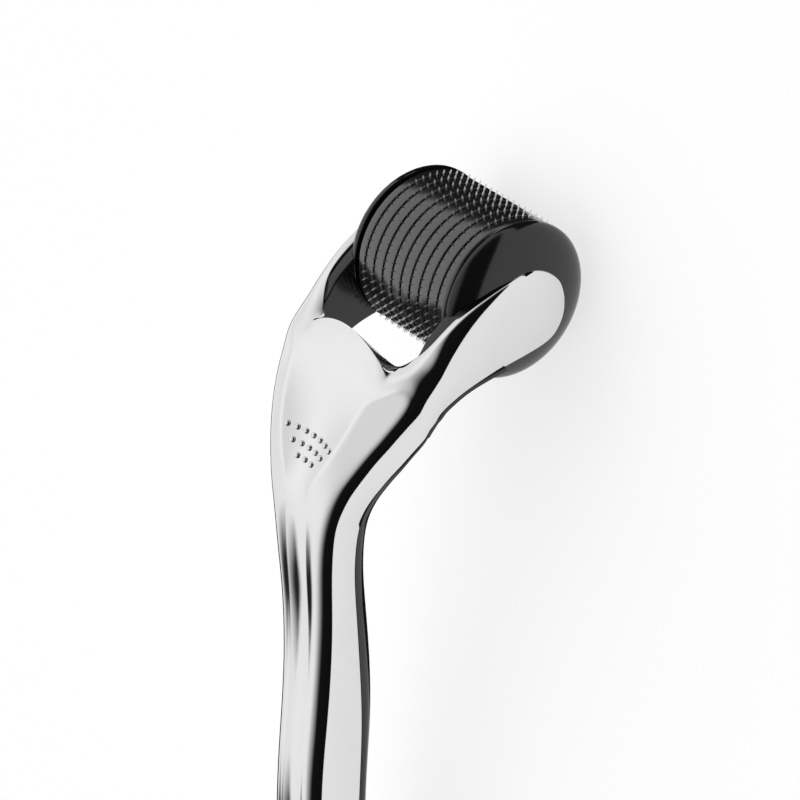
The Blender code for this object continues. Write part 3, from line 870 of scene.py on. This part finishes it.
def cap_profile():
    """Half section of a black cap: a shallow dome, a round rim and the face beside the roller."""
    profile = []
    for step in range(DOME_STEPS + 1):
        angle = 0.5 * math.pi * step / DOME_STEPS
        radius = min(DOME_RADIUS * math.sin(angle), CAP_RADIUS)
        profile.append((radius, DOME_FOOT + DOME_RISE * math.cos(angle)))
    profile.extend([(CAP_INNER_RADIUS, CAP_FACE), (CAP_HUB_RADIUS, CAP_FACE),
                    (CAP_HUB_RADIUS, CAP_HUB_FACE), (0.0, CAP_HUB_FACE)])
    return [(radius * MM, height * MM) for radius, height in profile]


def arm_outline(lip):
    """Side outline of a black arm, from the front edge up and back down."""
    inset_x, inset_z = ARM_FRONT_INSET
    fronts = [(inner[0] - inset_x, inner[2] - inset_z) for inner, _corner, _back in ARM_STATIONS]
    backs = [(back[0] - lip, back[1] - ARM_BACK_DROP) for _inner, _corner, back in ARM_STATIONS]
    return (smooth_line([ARM_FRONT_ENDS[0], *fronts, ARM_FRONT_ENDS[1]], 6)
            + smooth_line([ARM_BACK_ENDS[0], *reversed(backs), ARM_BACK_ENDS[1]], 6))


def lip_outline(lip):
    """Side outline of the thin black lip behind the plated arm's back edge."""
    line = [back for _inner, _corner, back in ARM_STATIONS]
    line.extend(row[2] for row in (WALL_ROW, LIP_ROW, COLLAR_ROW))
    line.append(BODY_STATIONS[0][1])
    path = smooth_line(line, 4)
    near, far = [], []
    for index, (x, z) in enumerate(path):
        before, after = path[max(index - 1, 0)], path[min(index + 1, len(path) - 1)]
        along = unit((after[0] - before[0], after[1] - before[1]))
        for edge, reach in ((near, LIP_GAP), (far, LIP_GAP + lip)):
            edge.append((x - reach * along[1], z + reach * along[0]))
    return near + far[::-1]


def make_plate(name, outline, sizes, side):
    """A flat plate across the roller's axis, from its side outline, with rounded edges."""
    inner_y, outer_y, edge = sizes
    curve = bpy.data.curves.new(name, "CURVE")
    curve.dimensions = "2D"
    curve.fill_mode = "BOTH"
    curve.bevel_depth = edge * MM
    curve.bevel_resolution = 3
    curve.offset = -edge * MM
    curve.extrude = (0.5 * (outer_y - inner_y) - edge) * MM
    spline = curve.splines.new("POLY")
    spline.points.add(len(outline) - 1)
    for point, (x, z) in zip(spline.points, outline):
        point.co = (x * MM, z * MM, 0.0, 1.0)
    spline.use_cyclic_u = True
    obj = add_object(name, curve)
    flat = finished_mesh(obj)
    bpy.data.objects.remove(obj, do_unlink=True)
    bm = bmesh.new()
    bm.from_mesh(flat)
    bpy.data.meshes.remove(flat)
    bmesh.ops.remove_doubles(bm, verts=bm.verts, dist=0.000002)
    place = (TO_WORLD @ Matrix.Scale(1.0 / MM, 4)
             @ Matrix.Translation((0.0, side * 0.5 * (inner_y + outer_y) * MM, 0.0))
             @ Matrix.Rotation(0.5 * math.pi, 4, "X"))
    bm.transform(place)
    bmesh.ops.recalc_face_normals(bm, faces=bm.faces)
    return add_object(name, mesh_from(bm, name))


def make_back_shell(settings, material):
    """The black back: handle strip, fork arms and domed caps in one moulding."""
    mesh = loft_half("black_back", back_rows(), back_creases, 0, 0)
    shell = add_object("black_back", mesh, material)
    round_half(shell, settings.smoothness)
    tools = []
    for label, side in (("left", 1.0), ("right", -1.0)):
        lip = settings.lip_width / MM
        arm = make_plate("arm_" + label, arm_outline(lip), ARM_PLATE, side)
        rim = make_plate("lip_" + label, lip_outline(lip), LIP_PLATE, side)
        cap = turned("cap_" + label, cap_profile(), settings.cap_segments)
        cap.location = AXIS
        cap.rotation_euler = (-side * 0.5 * math.pi, 0.0, 0.0)
        for tool in (arm, rim, cap):
            add_boolean(shell, tool, "UNION")
            tools.append(tool)
    settle(shell, tools)
    shell.data.materials.clear()
    shell.data.materials.append(material)
    for vert in shell.data.vertices:
        vert.co.z = max(vert.co.z, HEEL_HEIGHT)
    smooth_shading(shell, 32.0)
    return shell


def ring_profile(left_radius, right_radius):
    """Half section of a ring about its own middle, with rounded outer edges."""
    half = 0.5 * RING_WIDTH
    profile = [(0.0, half)]
    profile.extend(arc((RING_RADIUS - left_radius, half - left_radius), left_radius, 90.0, 0.0, 6))
    profile.extend(arc((RING_RADIUS - right_radius, right_radius - half), right_radius, 0.0, -90.0, 6))
    profile.append((0.0, -half))
    return profile


def hexagon(flats):
    """Corners of a hexagon of a width across its flats, one corner upright as on the hub."""
    radius = flats / math.sqrt(3.0)
    turns = [TAU * corner / HEX_SIDES for corner in range(HEX_SIDES)]
    return [(radius * math.sin(turn), radius * math.cos(turn)) for turn in turns]


def make_rings(settings, material):
    """Ten rings, each bored to the hub's hexagon."""
    bore_radius = HUB_BORE / math.sqrt(3.0)
    rings = []
    for index, node in enumerate(RING_NODES):
        edges = [settings.edge_radius, settings.edge_radius]
        if index == 0:
            edges[0] = settings.shoulder_radius
        if index == len(RING_NODES) - 1:
            edges[1] = settings.shoulder_radius
        name = node.replace("ring", "band")
        ring = turned(name, ring_profile(*edges), settings.ring_segments)
        bore = bmesh.new()
        bmesh.ops.create_cone(bore, cap_ends=True, segments=HEX_SIDES, radius1=bore_radius,
                              radius2=bore_radius, depth=3.0 * RING_WIDTH)
        bmesh.ops.rotate(bore, verts=bore.verts, matrix=Matrix.Rotation(math.radians(30.0), 3, "Z"))
        tool = add_object("hub_bore", mesh_from(bore, "hub_bore"))
        add_boolean(ring, tool, "DIFFERENCE")
        settle(ring, [tool])
        ring.data.materials.append(material)
        smooth_shading(ring, 40.0)
        ring.location = (AXIS.x, middle(node).y, AXIS.z)
        ring.rotation_euler = (-0.5 * math.pi, 0.0, 0.0)
        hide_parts(node)
        rings.append(ring)
    return rings


# A needle's root, shoulder and tip: radius in metres, share of its width, share of its thickness
NEEDLE_POINTS = ((RING_RADIUS - 0.00035, 2.2, 1.0), (RING_RADIUS + 0.00008, 1.0, 1.0),
                 (NEEDLE_TIP_RADIUS, 0.18, 0.25))


def needle_disc_mesh(settings):
    """A thin disc with tapered needles round it and the hub's hexagon cut out, about its own Z."""
    count = settings.needle_count
    rim = []
    for number in range(count):
        for side, points in ((-0.5, NEEDLE_POINTS), (0.5, NEEDLE_POINTS[::-1])):
            for radius, share, thickness in points:
                turn = side * share * settings.needle_width / radius
                rim.append((TAU * number / count + turn, radius, thickness))
    half = 0.5 * settings.disc_thickness
    hub = hexagon(HUB_BORE)
    bm = bmesh.new()
    sides = []
    for sign in (1.0, -1.0):
        outer = [bm.verts.new((radius * math.cos(angle), radius * math.sin(angle), sign * half * thick))
                 for angle, radius, thick in rim]
        inner = [bm.verts.new((x, y, sign * half)) for x, y in hub]
        sides.append((outer, inner))
    (upper, upper_hub), (lower, lower_hub) = sides
    total, each = len(rim), 2 * len(NEEDLE_POINTS)
    for index in range(total):
        following = (index + 1) % total
        bm.faces.new((upper[index], lower[index], lower[following], upper[following]))
    for index in range(HEX_SIDES):
        following = (index + 1) % HEX_SIDES
        bm.faces.new((upper_hub[following], lower_hub[following], lower_hub[index], upper_hub[index]))
    for outer, inner in sides:
        web = []
        for first in range(0, total, each):
            needle = outer[first:first + each]
            bm.faces.new(needle)
            web.extend((needle[0], needle[-1]))
        edges = [bm.edges.get((start, end)) for start, end in zip(inner, inner[1:] + inner[:1])]
        for index in range(len(web)):
            start, end = web[index], web[(index + 1) % len(web)]
            edges.append(bm.edges.get((start, end)) or bm.edges.new((start, end)))
        bmesh.ops.triangle_fill(bm, use_beauty=True, use_dissolve=False, edges=edges)
    bmesh.ops.recalc_face_normals(bm, faces=bm.faces)
    return mesh_from(bm, "needle_star")


# Turn of each disc against the last, as a share of the step from needle to needle
DISC_STAGGER = 0.37


def make_needles(settings, material):
    """Nine needle discs, each turned a little against the next."""
    mesh = needle_disc_mesh(settings)
    mesh.materials.append(material)
    step = TAU / settings.needle_count
    discs = []
    for index, node in enumerate(DISC_NODES):
        disc = add_object(node.replace("disc", "star"), mesh.copy())
        turn = step * ((DISC_STAGGER * index) % 1.0)
        disc.data.transform(Matrix.Rotation(turn, 4, "Y") @ Matrix.Rotation(-0.5 * math.pi, 4, "X"))
        disc.location = (AXIS.x, middle(node).y, AXIS.z)
        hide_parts(node)
        discs.append(disc)
    return discs


# ------------------------------
# Stage
# ------------------------------

# Ranges of a direction's x, y or z over which the walls' dark flags and gentle gradients ease in
NEAR_FLAG_Y, NEAR_FLAG_Z = (0.44, -0.30), (0.72, 1.00)
FAR_FLAG_X, FAR_FLAG_Y, FAR_FLAG_Z = (-0.56, -0.64), (0.48, 0.60), (0.34, 0.44)
SKIRT_Y = (0.75, 0.05)
CLIMB_Z = (0.10, 0.75)
# How dark the near flag, the far flag and the skirt are, and the brightness low and high on the walls
NEAR_FLAG_DARK, FAR_FLAG_DARK, SKIRT_DARK = 0.992, 0.98, 0.22
CLIMB_LOW, CLIMB_GAIN = 0.88, 0.16

# Black cards: bearing in degrees and start from the roller's axis, in metres
CARDS = ((47.0, 0.008), (135.0, 0.030))
CARD_BLACK = (0.003, 0.003, 0.003)
CARD_LENGTH = 1.5
CARD_WIDTH = 0.10
CARD_HEIGHT = 0.0004

FLOOR_GAP = 0.0001
KEY_SIZE = 0.9
KEY_HEIGHT = 0.9
# What the camera looks at, from the roller's axis
CAMERA_AIM = (-0.018141, 0.0, 0.007478)


def make_floor(settings):
    """A wide pale floor just under the needle tips and the heel."""
    floor = flat_panel("studio_floor", settings.floor_size, floor_material(settings))
    floor.location = (0.0, 0.0, CAD_BOX[0].z - FLOOR_GAP)


def make_room(settings):
    """White studio walls with a black flag along the near side and a small one beyond the head."""
    world = bpy.data.worlds.new("studio_room")
    bpy.context.scene.world = world
    graph = Graph(world)
    direction = graph.node("ShaderNodeTexCoord", output="Generated")
    axes = graph.node("ShaderNodeSeparateXYZ", {}, {"Vector": direction})
    nodes = axes.socket.node
    x, y, z = (Wire(graph, nodes.outputs[index]) for index in range(3))
    near_flag = graph.ease(y, *NEAR_FLAG_Y) * (1.0 - graph.ease(z, *NEAR_FLAG_Z))
    far_flag = graph.ease(x, *FAR_FLAG_X) * graph.ease(y, *FAR_FLAG_Y) * (1.0 - graph.ease(z, *FAR_FLAG_Z))
    skirt = graph.ease(y, *SKIRT_Y)
    light = settings.room_brightness * (CLIMB_LOW + CLIMB_GAIN * graph.ease(z, *CLIMB_Z))
    for part, dark in ((near_flag, NEAR_FLAG_DARK), (far_flag, FAR_FLAG_DARK), (skirt, SKIRT_DARK)):
        light = light * (1.0 - dark * part)
    seen = graph.node("ShaderNodeLightPath", output="Is Camera Ray")
    background = graph.node("ShaderNodeBackground", {}, {
        "Color": (1.0, 1.0, 1.0, 1.0), "Strength": light * (1.0 - seen) + seen})
    graph.node("ShaderNodeOutputWorld", {}, {"Surface": background})


def make_card(bearing, start):
    """A black card on the floor, running away from the roller and seen only in reflections."""
    material, graph = new_material("card_black")
    weave = graph.noise(graph.place(), 60.0, 2.0)
    finish_material(graph, {
        "Base Color": graph.blend(weave, CARD_BLACK, shade(CARD_BLACK, 1.4)),
        "Roughness": MATT,
        "Specular IOR Level": 0.0,
    })
    card = flat_panel("black_card", 1.0, material)
    turn = math.radians(bearing)
    reach = start + 0.5 * CARD_LENGTH
    card.scale = (CARD_LENGTH, CARD_WIDTH, 1.0)
    card.rotation_euler = (0.0, 0.0, turn)
    card.location = (AXIS.x + reach * math.cos(turn), reach * math.sin(turn), CARD_HEIGHT)
    card.visible_camera = False
    card.visible_diffuse = False
    card.visible_transmission = False
    card.visible_shadow = False


def make_key_light(settings):
    """One large soft light overhead, left out of reflections so that the plating stays clean."""
    data = bpy.data.lights.new("overhead_softbox", "AREA")
    data.shape = "SQUARE"
    data.size = KEY_SIZE
    data.energy = settings.key_power
    lamp = bpy.data.objects.new("overhead_softbox", data)
    bpy.context.scene.collection.objects.link(lamp)
    lamp.location = (0.0, 0.0, KEY_HEIGHT)
    lamp.visible_glossy = False


def make_camera(settings):
    """A long lens looking down at the head from its near side."""
    data = bpy.data.cameras.new("camera")
    data.lens = settings.focal_length
    data.sensor_width = 36.0
    camera = bpy.data.objects.new("camera", data)
    bpy.context.scene.collection.objects.link(camera)
    target = AXIS + Vector(CAMERA_AIM)
    level = math.cos(settings.elevation)
    back = Vector((math.sin(settings.azimuth) * level, -math.cos(settings.azimuth) * level,
                   math.sin(settings.elevation)))
    camera.location = target + back * settings.distance
    camera.rotation_mode = "QUATERNION"
    camera.rotation_quaternion = (
        (-back).to_track_quat("-Z", "Y") @ Quaternion((0.0, 0.0, 1.0), -settings.roll))
    bpy.context.scene.camera = camera


# ------------------------------
# Operators and panel
# ------------------------------

class DERMA_OT_stage(bpy.types.Operator):
    """Make the floor, the light and the camera"""

    bl_idname = "derma.stage"
    bl_label = "Stage"

    def execute(self, context):
        settings = context.scene.derma_stage
        context.scene.view_settings.view_transform = "Standard"
        make_floor(settings)
        make_room(settings)
        for bearing, start in CARDS:
            make_card(bearing, start)
        make_key_light(settings)
        make_camera(settings)
        return {"FINISHED"}


class DERMA_OT_front(bpy.types.Operator):
    """Make the plated front shell and its raised dots"""

    bl_idname = "derma.front"
    bl_label = "Plated Front"

    def execute(self, context):
        settings = context.scene.derma_shells
        material = chrome_material(settings)
        shell = make_front_shell(settings, material)
        dots = make_dots(settings, shell, material)
        for piece in (shell, dots):
            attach(piece, HANDLE_BODY)
            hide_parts("front_shell")
        return {"FINISHED"}


class DERMA_OT_back(bpy.types.Operator):
    """Make the glossy black back with its fork arms and caps"""

    bl_idname = "derma.back"
    bl_label = "Black Back"

    def execute(self, context):
        settings = context.scene.derma_shells
        shell = make_back_shell(settings, gloss_black_material(settings))
        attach(shell, HANDLE_BODY)
        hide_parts("back_shell")
        return {"FINISHED"}


class DERMA_OT_rings(bpy.types.Operator):
    """Make the ten satin black rings"""

    bl_idname = "derma.rings"
    bl_label = "Rings"

    def execute(self, context):
        settings = context.scene.derma_roller
        for ring in make_rings(settings, satin_black_material(settings)):
            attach(ring, ROLLER_BODY)
        return {"FINISHED"}


class DERMA_OT_needles(bpy.types.Operator):
    """Make the nine discs of steel needles"""

    bl_idname = "derma.needles"
    bl_label = "Needles"

    def execute(self, context):
        settings = context.scene.derma_roller
        for disc in make_needles(settings, needle_material(settings)):
            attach(disc, ROLLER_BODY)
        return {"FINISHED"}


class DERMA_OT_axle(bpy.types.Operator):
    """Give the hub and the pin their finishes"""

    bl_idname = "derma.axle"
    bl_label = "Hub and Pin"

    def execute(self, context):
        settings = context.scene.derma_roller
        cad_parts["roller_core"].material_slots[0].material = hub_material(settings)
        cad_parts["axle_pin"].material_slots[0].material = pin_material(settings)
        return {"FINISHED"}


OPERATORS = (DERMA_OT_stage, DERMA_OT_front, DERMA_OT_back, DERMA_OT_rings, DERMA_OT_needles, DERMA_OT_axle)


class DERMA_PT_panel(bpy.types.Panel):
    """The roller's pieces in the 3D view's sidebar"""

    bl_idname = "DERMA_PT_panel"
    bl_label = "Derma Roller"
    bl_space_type = "VIEW_3D"
    bl_region_type = "UI"
    bl_category = "Derma Roller"

    def draw(self, context):
        for operator in OPERATORS:
            self.layout.operator(operator.bl_idname)


CLASSES = (ShellSettings, RollerSettings, StageSettings, *OPERATORS, DERMA_PT_panel)


def register():
    """Register the classes and put the settings on the scene."""
    for item in CLASSES:
        bpy.utils.register_class(item)
    bpy.types.Scene.derma_shells = bpy.props.PointerProperty(type=ShellSettings)
    bpy.types.Scene.derma_roller = bpy.props.PointerProperty(type=RollerSettings)
    bpy.types.Scene.derma_stage = bpy.props.PointerProperty(type=StageSettings)


def unregister():
    """Undo what register does."""
    del bpy.types.Scene.derma_stage
    del bpy.types.Scene.derma_roller
    del bpy.types.Scene.derma_shells
    for item in reversed(CLASSES):
        bpy.utils.unregister_class(item)


def main():
    """Build everything in order."""
    register()
    bpy.ops.derma.stage()
    bpy.ops.derma.front()
    bpy.ops.derma.back()
    bpy.ops.derma.rings()
    bpy.ops.derma.needles()
    bpy.ops.derma.axle()


if __name__ == "__main__":
    main()
